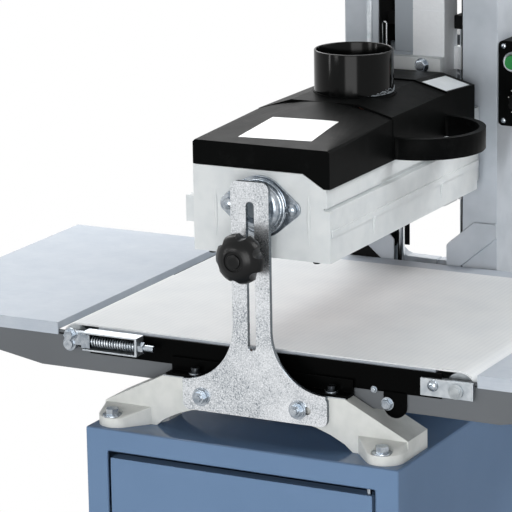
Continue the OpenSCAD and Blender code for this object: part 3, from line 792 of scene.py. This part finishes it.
    def sheet(self, outline: Sequence[Flat], surface: Surface, lift: float, steps: int = 14) -> Self:
        """Adds a thin closed sheet that follows the top of a solid.

        Args:
            outline: its four corners seen from above, in turn.
            surface: the solid that it lies on.
            lift: its thickness in millimetres.
            steps: divisions along each side.

        Returns:
            The blank.
        """
        top: list[list[Corner]] = []
        low: list[list[Corner]] = []
        for i in range(steps + 1):
            u = i / steps
            top.append([])
            low.append([])
            for j in range(steps + 1):
                v = j / steps
                shares = ((1 - u) * (1 - v), u * (1 - v), u * v, (1 - u) * v)
                x, y = (sum(w * p[n] for w, p in zip(shares, outline)) for n in (0, 1))
                z = surface.top(x, y)
                top[i].append(self.mesh.verts.new(at(x, y, z + lift)))
                low[i].append(self.mesh.verts.new(at(x, y, z - lift / 2)))
        for i in range(steps):
            for j in range(steps):
                self.mesh.faces.new((top[i][j], top[i + 1][j], top[i + 1][j + 1], top[i][j + 1]))
                self.mesh.faces.new((low[i][j], low[i][j + 1], low[i + 1][j + 1], low[i + 1][j]))
        rim = [(i, 0) for i in range(steps)] + [(steps, j) for j in range(steps)]
        rim += [(steps - i, steps) for i in range(steps)] + [(0, steps - j) for j in range(steps)]
        for (i, j), (k, n) in zip(rim, rim[1:] + rim[:1]):
            self.mesh.faces.new((top[i][j], low[i][j], low[k][n], top[k][n]))
        return self


class Frame:
    """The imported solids, which stay where they are and get their finishes and rounded edges."""

    def dress(self) -> None:
        """Gives every solid its finish, and rounds the edges of those that show."""
        finishes = {node: finish for finish, nodes in SOLIDS_IN.items() for node in nodes.split()}
        widths = {node: width for width, nodes in SOLIDS_ROUNDED.items() for node in nodes.split()}
        for name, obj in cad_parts.items():
            obj.data.materials.clear()
            obj.data.materials.append(finishes[name].make())
            if name in widths:
                obj.modifiers.new("joined_corners", "WELD").merge_threshold = SAME_SPOT
                soften(obj, widths[name])
            LOG.info("solid %s in %s", name, finishes[name].name)


@dataclass
class Cabinet:
    """The folded sheet cabinet with its rolled edges, in place of the plain sheets."""

    half: float = 210.5
    deep: float = 610.0
    low: float = -715.0
    sheet: float = 3.0
    mouth_half: float = 180.5
    mouth_low: float = -694.0
    mouth_top: float = -28.0
    edge_mm: float = 2.6
    edge_steps: int = 3
    hinge_block: tuple[float, ...] = (157.5, 186.5, 2.8, 20.0)
    hinge_block_h: float = 8.0
    catch: Outline = ((-195.0, 2.8), (-180.5, 2.8), (-180.5, 18.5), (-166.0, 18.5), (-166.0, 30.0), (-195.0, 30.0))
    catch_low: float = -400.0
    catch_top: float = -340.0

    def build(self) -> None:
        """Builds the shell and the hinge and catch blocks inside it."""
        blank = Blank()

        def upright(half: float, low: float, top: float, y: float) -> list[Corner]:
            """Adds the four corners of an upright rectangle."""
            return blank.corners([(x, y, z) for x, z in box_of(-half, half, low, top)])
        t = self.sheet
        outer = [upright(self.half, self.low, 0.0, y) for y in (0.0, self.deep)]
        inner = [upright(self.half - t, self.low + t, -t, y) for y in (t, self.deep - t)]
        mouths = [upright(self.mouth_half, self.mouth_low, self.mouth_top, y) for y in (0.0, t)]
        add = blank.mesh.faces.new
        turns = [(k, (k + 1) % 4) for k in range(4)]
        for (front, back), mouth in ((outer, mouths[0]), (inner, mouths[1])):
            for k, n in turns:
                add((front[k], front[n], back[n], back[k]))
                add((front[k], front[n], mouth[n], mouth[k]))
            add(back)
        for k, n in turns:
            add((mouths[0][k], mouths[0][n], mouths[1][n], mouths[1][k]))
        shell = blank.piece("cabinet_shell", Body.BASE, BLUE_ENAMEL, "blue_paint", self.edge_mm, 30.0)
        shell.modifiers["rounded_edges"].use_clamp_overlap = False
        shell.modifiers["rounded_edges"].segments = self.edge_steps
        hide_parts("cabinet")
        # the top faces take the darker blue: painted shade of the machine standing over the cabinet
        shell.data.materials.append(BLUE_TOP_SHADED.make())
        for face in shell.data.polygons:
            face.material_index = int(face.center.z > at(0.0, 0.0, -1.0).z)
        self.blocks()

    def blocks(self) -> None:
        """Builds the hinge blocks and the catch plate behind the front frame."""
        blank = Blank()
        for low in (self.mouth_top, self.mouth_low - self.hinge_block_h):
            blank.prism(rounded(*self.hinge_block, 2.0), Along.Z, low, low + self.hinge_block_h)
        blank.prism(self.catch, Along.Z, self.catch_low, self.catch_top)
        blank.piece("hinge_and_catch_blocks", Body.BASE, ZINC_SHEET, "bright_zinc", 0.8)


@dataclass
class Conveyor:
    """The take-up springs and the small fittings along the conveyor frame."""

    plate_front: float = 65.0
    tab_front: float = 62.0
    tab_side: float = 193.0
    tab_r: float = 15.0
    tab_low: float = 57.0
    tab_top: float = 76.0
    far_mirror: float = 560.5
    coil_start: float = -227.6
    coil_length: float = 63.0
    coil_axis: Flat = (51.0, 92.3)
    coil_r: float = 6.1
    wire_r: float = 0.85
    curls: int = 17
    takeup_travel: float = 8.0
    takeup_spare: float = 0.2
    drive_screw: Point = (229.4, 57.0, 90.0)
    drive_screw_profile: Outline = ((0.0, 0.4), (7.0, 0.4), (7.0, -0.8), (6.2, -2.6), (4.4, -4.0), (2.2, -4.6),
                                    (2.0, -3.0), (0.0, -3.0))
    washer_profile: Outline = ((3.4, 0.0), (8.4, 0.0), (8.4, 1.3), (8.0, 1.6), (5.8, 1.6), (5.8, 0.6), (3.4, 0.6),
                               (3.4, 0.0))
    washer_x: Flat = (-84.0, 100.0)
    washer_y: float = 52.0
    washer_z: float = 68.0
    shim_half: float = 123.4
    shim_y: Flat = (40.8, 61.6)
    shim_z: Flat = (63.9, 65.1)

    def coils(self) -> None:
        """Builds the two take-up springs."""
        blank = Blank()
        steps = self.curls * 20
        for y in (self.coil_axis[0], self.far_mirror - self.coil_axis[0]):
            path: list[Point] = []
            for k in range(steps + 1):
                t = 2 * math.pi * self.curls * k / steps
                path.append((self.coil_start + self.wire_r + (self.coil_length - 2 * self.wire_r) * k / steps,
                             y + self.coil_r * math.cos(t), self.coil_axis[1] + self.coil_r * math.sin(t)))
            blank.tube(path, self.wire_r, 8, Vector((1, 0, 0)))
        springs = blank.piece("takeup_coils", Body.BASE, SPRING_WIRE, "bright_zinc", smooth=80.0)
        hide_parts("takeup_springs")
        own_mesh(springs)

    def build(self) -> None:
        """Builds the springs, the rail's tab, bolts, screws, washers and shims."""
        self.coils()
        side, r = self.tab_side, self.tab_r
        tab = [(side - r + r * math.cos(t), self.tab_low + r * math.sin(t))
               for t in (math.radians(180.0 + 12.0 * k) for k in range(16))]
        tab += [(side, self.tab_top), (side - 2 * r, self.tab_top)]
        Blank().prism(tab, Along.Y, self.tab_front, self.plate_front + 0.2).piece(
            "rail_tab", Body.BASE, RAIL_BLACK, "black_paint", 0.5)
        blank = Blank().bolts([(168.5, self.tab_front, 59.0)], (6.6, 5.4), (8.4, 1.4))
        blank.bolts([(151.0, self.tab_front - 0.2, 74.5)], (3.4, 3.0), (4.4, 0.8))
        blank.piece("frame_bolts", Body.BASE, BRIGHT_ZINC, "bright_zinc", 0.3)
        Blank().turned(self.drive_screw_profile, Along.Y, [self.drive_screw], 32).piece(
            "drive_plate_screws", Body.BASE, BRIGHT_ZINC, "bright_zinc", smooth=50.0)
        sides = (self.washer_y, self.far_mirror - self.washer_y)
        Blank().turned(self.washer_profile, Along.Z, [(x, y, self.washer_z) for y in sides for x in self.washer_x],
                       40).piece("mount_washers", Body.BASE, BRIGHT_ZINC, "bright_zinc")
        blank = Blank()
        for span in (self.shim_y, [self.far_mirror - y for y in reversed(self.shim_y)]):
            blank.prism(rounded(-self.shim_half, self.shim_half, *span, 1.0), Along.Z, *self.shim_z)
        blank.piece("mount_shims", Body.BASE, ZINC_SHEET, "bright_zinc", 0.3)


@dataclass
class Column:
    """Black sheets of painted shade in the column's gap and at its foot, a strip, covers and the depth stop of the
    column.
    """

    front: float = 528.0
    low: float = 114.5
    top: float = 491.5
    rod_y: float = 536.0
    # thin black liners on the posts' inner faces and across the back of the gap: a dark sheet standing for the shade
    # in the gap
    gap_shade_liner: Outline = ((59.8, 529.0), (59.8, 577.5), (38.8, 577.5), (38.8, 575.8), (58.4, 575.8), (58.4, 529.0))
    strip: Outline = ((-76.8, 527.0), (-76.0, 526.6), (-70.2, 526.6), (-69.6, 527.0), (-69.6, 528.2), (-76.8, 528.2))
    strip_low: float = 170.0
    wire_x: float = -55.5
    wire_bend: float = 3.1
    wire_r: float = 1.15
    wire_low: float = 352.0
    wire_top: float = 422.6
    clip_x: Flat = (-59.9, -49.5)
    clip_half: float = 5.0
    clip_z: Flat = (344.0, 358.0)
    cover_x: Flat = (37.2, 59.9)
    cover_y: Flat = (552.2, 577.6)
    cover_z: Flat = (419.2, 436.8)
    # outline of a black sheet at the post's foot, standing for the shade under the head
    foot: Outline = ((-109.0, 100.0), (-38.0, 100.0), (-38.0, 128.0), (-60.0, 141.0), (-109.0, 126.0))

    def build(self) -> None:
        """Builds the black liners of painted shade in the gap, the post strip, the stop wire, the clamp covers and
        the black sheet of painted shade at the foot.
        """
        blank = Blank()
        for s in (-1.0, 1.0):
            blank.prism([(s * x, y) for x, y in self.gap_shade_liner], Along.Z, self.low, self.top)
        blank.piece("gap_shade_liners", Body.BASE, RUBBER_AND_SHADE_BLACK, "black_abs")
        Blank().prism(self.strip, Along.Z, self.strip_low, self.top).piece(
            "post_slide_strip", Body.BASE, ZINC_SHEET, "steel", 0.3)
        x, bend = self.wire_x, self.wire_bend
        wire: list[Point] = [(x - bend, self.rod_y, self.wire_low)]
        wire += [(x - bend * math.cos(t), self.rod_y, self.wire_top + bend * math.sin(t))
                 for t in (math.radians(15.0 * k) for k in range(13))]
        Blank().tube([*wire, (x + bend, self.rod_y, self.wire_low)], self.wire_r, 12).piece(
            "stop_wire", Body.BASE, HARD_CHROME, "chrome_rod", smooth=60.0)
        clip = rounded(*self.clip_x, self.rod_y - self.clip_half, self.rod_y + self.clip_half, 1.5)
        blank = Blank().prism(clip, Along.Z, *self.clip_z)
        for s in (-1.0, 1.0):
            sides = sorted(s * x for x in self.cover_x)
            blank.prism(rounded(*sides, *self.cover_y, 2.0), Along.Z, *self.cover_z)
        blank.piece("clip_and_clamp_covers", Body.BASE, RUBBER_AND_SHADE_BLACK, "black_abs", 0.6)
        # black sheet of painted shade on the post's lower front face
        Blank().prism(self.foot, Along.Y, self.front - 0.9, self.front + 0.2).piece(
            "foot_shade_sheet", Body.BASE, RUBBER_AND_SHADE_BLACK, "black_abs")


@dataclass
class Head:
    """Screws, bolts and cast bulges of the lifting head."""

    face: float = 70.0
    bulge_r: float = 2.8
    bulge_l: float = 74.0
    bulge_x: Flat = (-61.0, 63.2)
    bulge_z: float = 269.0
    bulge_steps: int = 16
    under: float = 219.0
    screw_x: Flat = (-70.0, 70.0)
    screw_y: Flat = (76.5, 500.0)
    screw_profile: Outline = ((0.0, 0.3), (4.6, 0.3), (4.6, -1.6), (3.6, -2.8), (2.2, -3.0), (2.0, -1.6),
                              (0.0, -1.6))
    plate_bolt: Point = (10.6, 510.0, 376.0)

    def build(self) -> None:
        """Builds the screws under the casting, the upper plate's bolt and the bulges of the front face."""
        spots = [(x, y, self.under) for x in self.screw_x for y in self.screw_y]
        Blank().turned(self.screw_profile, Along.Z, spots, 28).piece(
            "underside_screws", Body.HEAD, RAIL_BLACK, "black_paint", smooth=50.0)
        Blank().bolts([self.plate_bolt], (8.0, 6.5), (10.0, 1.6)).piece(
            "upper_plate_bolts", Body.HEAD, BRIGHT_ZINC, "bright_zinc", 0.3)
        n = self.bulge_steps
        spindle = [(self.bulge_r * math.sin(math.pi * k / n), self.bulge_l * (k / n - 0.5)) for k in range(n + 1)]
        Blank().turned(spindle, Along.Z, [(x, self.face + 0.6, self.bulge_z) for x in self.bulge_x], 24).piece(
            "cast_face_bulges", Body.HEAD, PALE_CAST, "light_casting", smooth=80.0)


@dataclass
class Hood:
    """The dust hood's port and trim: a clean tube, two blank labels, a side ridge and a torn seam."""

    front_label: Outline = ((-40.6, 91.7), (53.7, 98.9), (51.4, 177.4), (-34.9, 171.4))
    rear_label: Outline = ((55.5, 411.0), (89.0, 411.0), (89.0, 484.0), (55.5, 484.0))
    label_mm: float = 0.3
    port: Flat = (2.6, 322.0)
    port_r: float = 50.0
    port_wall: float = 3.0
    collar_z: float = 375.5
    port_rim: float = 429.3
    side: float = 91.3
    ridge: tuple[float, ...] = (245.6, 248.8, 309.4, 360.0)
    strands: tuple[Point, ...] = ((-46.0, 28.0, 1.2), (-36.0, 26.0, 3.4), (-24.0, 30.0, 6.0), (-40.0, 6.0, 2.6),
                                  (-14.0, 28.0, 8.5), (-30.0, 20.0, 5.0))

    def build(self) -> None:
        """Builds the labels, the port, the seam and the ridge."""
        skin = Surface("dust_hood")
        for name, corners, finish in (("hood_label", self.front_label, LABEL_VINYL),
                                      ("rating_label", self.rear_label, LABEL_FOIL)):
            Blank().sheet(corners, skin, self.label_mm).piece(name, Body.HOOD, finish, "black_abs", smooth=60.0)
        outer, inner, foot, rim = self.port_r, self.port_r - self.port_wall, self.collar_z, self.port_rim
        wall = [(inner, foot), (outer, foot), (outer, foot + 0.8), (outer, rim - 1.2), (outer - 0.3, rim - 0.4),
                (outer - 0.9, rim), (inner + 0.9, rim), (inner + 0.3, rim - 0.4), (inner, rim - 1.2),
                (inner, foot + 0.8), (inner, foot)]
        tube = Blank().turned([(r, z - foot) for r, z in wall], Along.Z, [(*self.port, foot)], 128).piece(
            "port_tube", Body.HOOD, PIPE_ABS, "gloss_abs", smooth=60.0)
        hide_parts("dust_port")
        self.seam("port_foot_bead", ((0.0, 360.0, 0.2),), 0.8, BLACK_ABS)
        self.seam("port_torn_seam", self.strands, 0.45, TORN_SEAM)
        Blank().prism(rounded(*self.ridge, 0.9), Along.X, self.side - 0.4, self.side + 0.9).piece(
            "hood_side_ridge", Body.HOOD, BLACK_ABS, "black_abs", 0.5)

    def seam(self, name: str, strands: Sequence[Point], radius: float, finish: Finish) -> None:
        """Builds uneven beads along part of the port's foot.

        Args:
            name: the piece's name.
            strands: for each bead its first and last angle in degrees, and how far it wanders up the wall.
            radius: of a bead, in millimetres.
            finish: its surface.
        """
        blank = Blank()
        for phase, (start, end, rise) in enumerate(strands):
            path: list[Point] = []
            count = max(30, round((end - start) / 2.25))
            for k in range(count + 1):
                t = math.radians(start + (end - start) * k / count)
                swell = (0.5 * math.sin(9 * t + 0.7 + 2.1 * phase) + 0.3 * math.sin(23 * t + 2.1)
                         + 0.2 * math.sin(47 * t))
                r = self.port_r + 0.3 + 0.3 * swell
                path.append((self.port[0] + r * math.cos(t), self.port[1] + r * math.sin(t),
                             self.collar_z + 0.6 * radius + rise * (0.5 + 0.5 * swell)))
            blank.tube(path, radius, 8)
        blank.piece(name, Body.HOOD, finish, "gloss_abs", smooth=80.0)


@dataclass
class Controls:
    """Rings, ticks and screws on the face of the switch box."""

    face: float = 532.0
    button_x: Flat = (129.5, 159.5)
    button_z: float = 385.0
    ring_profile: Outline = ((9.4, 0.3), (13.4, 0.3), (13.4, -1.2), (12.6, -2.2), (10.4, -2.2), (9.4, -1.4),
                             (9.4, 0.3))
    dial: Flat = (144.5, 335.0)
    tick_near: float = 18.5
    tick_far: float = 21.5
    tick_far_long: float = 23.5
    tick_half: float = 0.6
    screw_x: Flat = (116.5, 172.5)
    screw_z: Flat = (307.0, 405.0)
    screw_profile: Outline = ((0.0, 0.3), (3.6, 0.3), (3.6, -0.7), (2.6, -1.7), (1.3, -1.9), (1.2, -1.0), (0.0, -1.0))

    def build(self) -> None:
        """Builds the rings round the buttons, the dial's ticks and the cover screws."""
        Blank().turned(self.ring_profile, Along.Y, [(x, self.face, self.button_z) for x in self.button_x], 48).piece(
            "button_rings", Body.BASE, ZINC_SHEET, "bright_zinc", smooth=50.0)
        blank = Blank()
        near, w = self.tick_near, self.tick_half
        for k in range(11):
            t = math.radians(225.0 - 27.0 * k)
            c, s = math.cos(t), math.sin(t)
            far = self.tick_far_long if k % 5 == 0 else self.tick_far
            blank.prism([(self.dial[0] + r * c - v * s, self.dial[1] + r * s + v * c)
                         for r, v in ((near, -w), (far, -w), (far, w), (near, w))],
                        Along.Y, self.face - 0.35, self.face + 0.2)
        blank.piece("dial_ticks", Body.BASE, LABEL_VINYL, "bright_zinc")
        Blank().turned(self.screw_profile, Along.Y, [(x, self.face, z) for x in self.screw_x for z in self.screw_z],
                       24).piece("cover_screws", Body.BASE, BRIGHT_ZINC, "bright_zinc", smooth=50.0)


@dataclass
class Motor:
    """Fittings of the drum motor that only show from the side and the back."""

    face_y: float = 606.0
    bolt_ring: float = 56.0
    gland: Point = (0.0, 695.0, DRUM_Z + 94.0)
    gland_nut: Outline = ((0.0, 45.0), (13.0, 45.0), (13.0, 53.0), (12.0, 54.0), (0.0, 54.0))
    gland_cap: Outline = ((0.0, 54.0), (11.2, 54.0), (11.2, 60.0), (9.0, 64.5), (6.0, 65.0), (0.0, 63.0))
    lid_x: Flat = (-38.0, 38.0)
    lid_y: Flat = (657.0, 733.0)
    lid_z: float = DRUM_Z + 112.0
    screw_profile: Outline = ((0.0, -0.3), (3.8, -0.3), (3.8, 0.8), (2.8, 1.9), (1.3, 2.1), (1.2, 1.2), (0.0, 1.2))

    def build(self) -> None:
        """Builds the flange bolts, the cable gland and the screws of the terminal box."""
        turns = [math.radians(45.0 + 90.0 * k) for k in range(4)]
        spots = [(self.bolt_ring * math.cos(t), self.face_y, DRUM_Z + self.bolt_ring * math.sin(t)) for t in turns]
        Blank().bolts(spots, (6.2, 5.0), (8.0, 1.2)).piece(
            "flange_bolts", Body.HEAD, BRIGHT_ZINC, "bright_zinc", 0.3)
        blank = Blank().turned(self.gland_nut, Along.X, [self.gland], 6)
        blank.turned(self.gland_cap, Along.X, [self.gland], 32).piece(
            "cable_gland", Body.HEAD, BLACK_ABS, "black_abs", 0.4, 40.0)
        spots = [(x, y, self.lid_z) for x in self.lid_x for y in self.lid_y]
        Blank().turned(self.screw_profile, Along.Z, spots, 24).piece(
            "terminal_box_screws", Body.HEAD, BRIGHT_ZINC, "bright_zinc", smooth=50.0)


@dataclass
class Studio:
    """The floor, the lamps and the camera."""

    eye: Point = (1627.17, -3048.37, 1105.25)
    azimuth: float = 27.6689
    elevation: float = 14.1295
    roll: float = -0.9307
    focal_px: float = 3036.41
    frame_px: float = 512.0
    sensor_mm: float = 36.0
    # Each lamp's name, its place and width in metres, its height as a multiple of its width, and its watts.
    boxes: tuple[tuple[str, Point, float, float, float], ...] = (
        ("key_box", (-1.78, -3.75, 2.0), 0.7, 1.0, 14.0), ("strip_box", (-3.1, -2.95, 1.7), 0.1, 12.0, 14.0),
        ("front_box", (1.3, -4.3, 1.15), 2.6, 1.0, 109.0), ("high_left_box", (-1.4, 1.5, 2.9), 2.0, 1.0, 68.0),
        ("high_right_box", (2.0, 1.2, 3.0), 1.8, 1.0, 72.0))
    aim: Point = (0.0, -0.1, 0.9)
    dim: float = 0.07
    shadow_m: Flat = (0.7, 1.5)

    def camera(self) -> None:
        """Places the camera where the photograph was taken from."""
        a, e, r = (math.radians(v) for v in (self.azimuth, self.elevation, self.roll))
        back = Vector((math.sin(a) * math.cos(e), -math.cos(a) * math.cos(e), math.sin(e)))
        right = Vector((math.cos(a), math.sin(a), 0.0))
        up = back.cross(right)
        level = right * math.cos(r) + up * math.sin(r)
        lift = up * math.cos(r) - right * math.sin(r)
        data = bpy.data.cameras.new("photo_camera")
        data.sensor_width = self.sensor_mm
        data.lens = self.focal_px / self.frame_px * self.sensor_mm
        data.clip_end = 60.0
        cam = bpy.data.objects.new("photo_camera", data)
        cam.matrix_world = Matrix.Translation(at(*self.eye)) @ Matrix((level, lift, back)).transposed().to_4x4()
        bpy.context.scene.collection.objects.link(cam)
        bpy.context.scene.camera = cam

    def lamps(self) -> None:
        """Places the soft boxes: a key at the front left with a strip beside it, a front fill and two high ones."""
        for name, spot, size, tall, watts in self.boxes:
            data = bpy.data.lights.new(name, "AREA")
            data.shape = "RECTANGLE"
            data.size = size
            data.size_y = size * tall
            data.energy = watts
            obj = bpy.data.objects.new(name, data)
            obj.location = spot
            obj.rotation_euler = (Vector(self.aim) - Vector(spot)).to_track_quat("-Z", "Y").to_euler()
            bpy.context.scene.collection.objects.link(obj)

    def seen(self, coat: Coat) -> bpy.types.Node:
        """Adds a switch that is 1 for the camera, in mirrors and through clear things, and 0 for light.

        Args:
            coat: the nodes that it is added to.

        Returns:
            The switch.
        """
        rays = coat.add("LightPath").outputs
        direct = coat.add("Math", rays["Is Camera Ray"], rays["Is Transmission Ray"], operation="MAXIMUM")
        return coat.add("Math", direct, rays["Is Glossy Ray"], operation="MAXIMUM")

    def world(self) -> None:
        """Sets a surround that is white to the eye and in mirrors, and dim as a light."""
        world = bpy.data.worlds.new("white_studio")
        bpy.context.scene.world = world
        coat = Coat(world)
        dim, white = (coat.add("Background", Color=(1, 1, 1, 1), Strength=v) for v in (self.dim, 1.0))
        coat.add("OutputWorld", Surface=coat.add("MixShader", self.seen(coat), dim, white))

    def floor(self) -> None:
        """Lays a plain pale floor that keeps the shadow near the stand and fades to white far off."""
        mesh = bmesh.new()
        bmesh.ops.create_grid(mesh, x_segments=8, y_segments=8, size=20.0)
        data = bpy.data.meshes.new("studio_floor")
        mesh.to_mesh(data)
        mesh.free()
        obj = bpy.data.objects.new("studio_floor", data)
        bpy.context.scene.collection.objects.link(obj)
        mat = bpy.data.materials.new("pale_floor_paint")
        coat = Coat(mat)
        reach = coat.add("VectorMath", coat.add("TexCoord").outputs["Object"], operation="LENGTH")
        fade = coat.add("MapRange", reach, *self.shadow_m, interpolation_type="SMOOTHSTEP")
        blend = coat.add("Math", fade, self.seen(coat), operation="MULTIPLY")
        paint = coat.add("BsdfDiffuse", Color=linear("#EDEEEE"))
        white = coat.add("Emission", Color=(1, 1, 1, 1), Strength=1.0)
        coat.add("OutputMaterial", Surface=coat.add("MixShader", blend, paint, white))
        data.materials.append(mat)

    def build(self) -> None:
        """Builds the whole studio."""
        self.camera()
        self.lamps()
        self.world()
        self.floor()
        bpy.context.scene.view_settings.view_transform = "Standard"


def main() -> None:
    """Builds the studio, dresses the solids and adds the trim."""
    logging.basicConfig(level=logging.INFO, format="%(message)s")
    Studio().build()
    Frame().dress()
    for part in (Cabinet(), Conveyor(), Column(), Head(), Hood(), Controls(), Motor()):
        part.build()
    bpy.context.view_layer.update()


if __name__ == "__main__":
    main()
